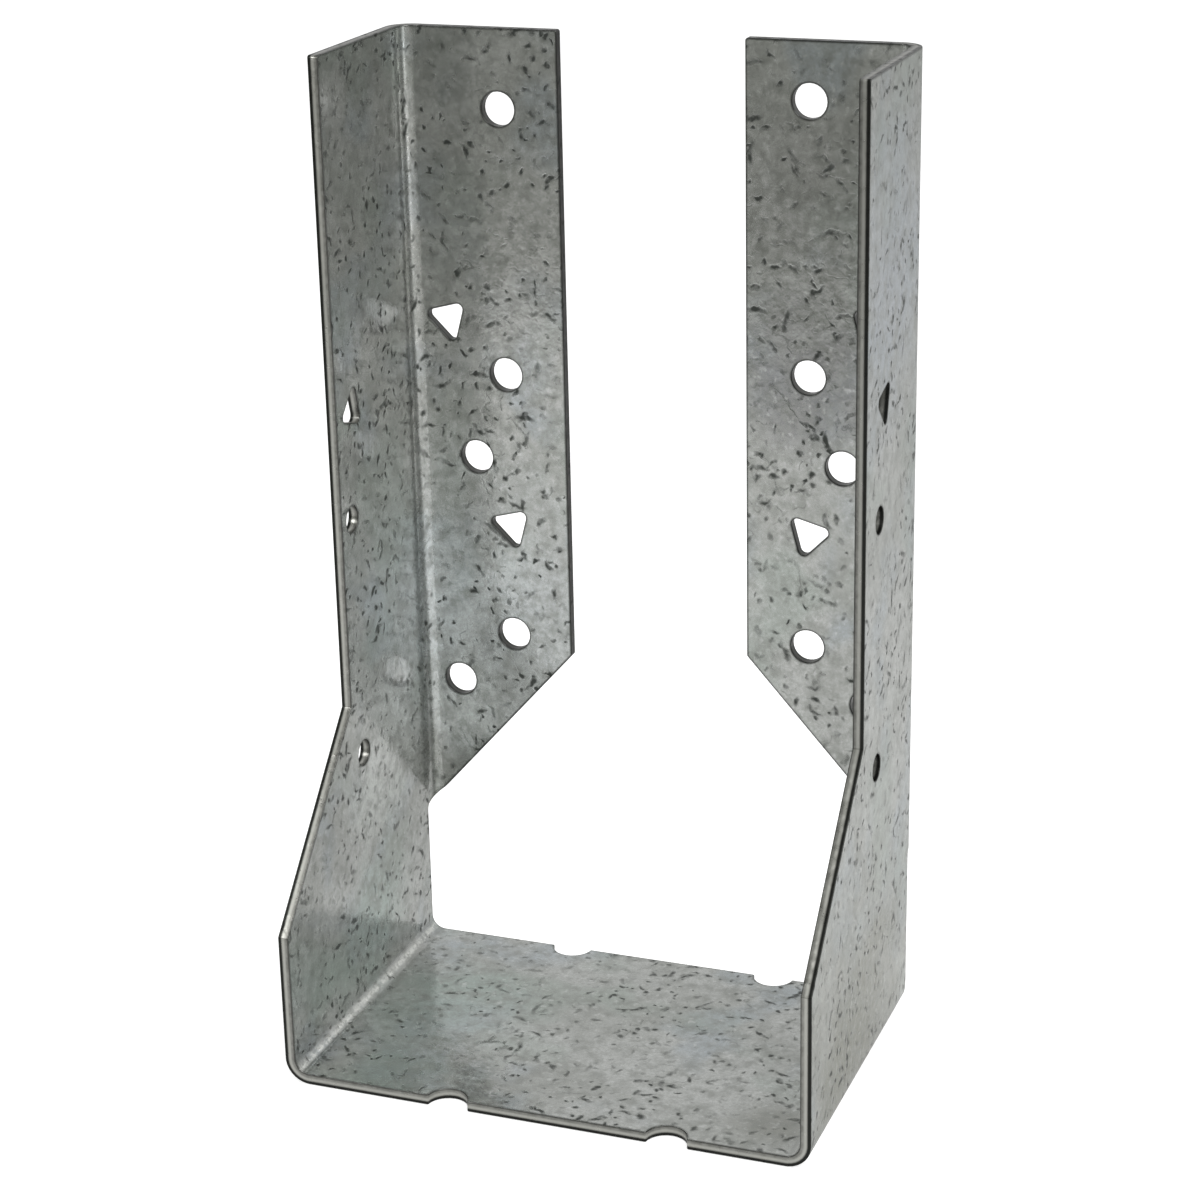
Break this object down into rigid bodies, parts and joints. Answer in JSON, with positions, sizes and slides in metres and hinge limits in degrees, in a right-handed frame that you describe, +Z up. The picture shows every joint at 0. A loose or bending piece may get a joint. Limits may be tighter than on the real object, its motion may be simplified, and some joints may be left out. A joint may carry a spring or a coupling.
{
  "type": "joist hanger",
  "caption": "Galvanised face-mount joist hanger: U-shaped stirrup with a flat seat, tapered side plates and turned-in nailing flanges.",
  "frame": {"origin": "middle of the bounding box, on the underside of the seat", "axes": "+Z up, +X across the pocket to the right as seen from the joist side, +Y from the joist towards the header"},
  "size_m": [0.0944, 0.064, 0.172],
  "materials": {
    "hanger": "satin, hot-dip zinc"
  },
  "bodies": {
    "root": {"hanger": "hanger"}
  },
  "joints": []
}
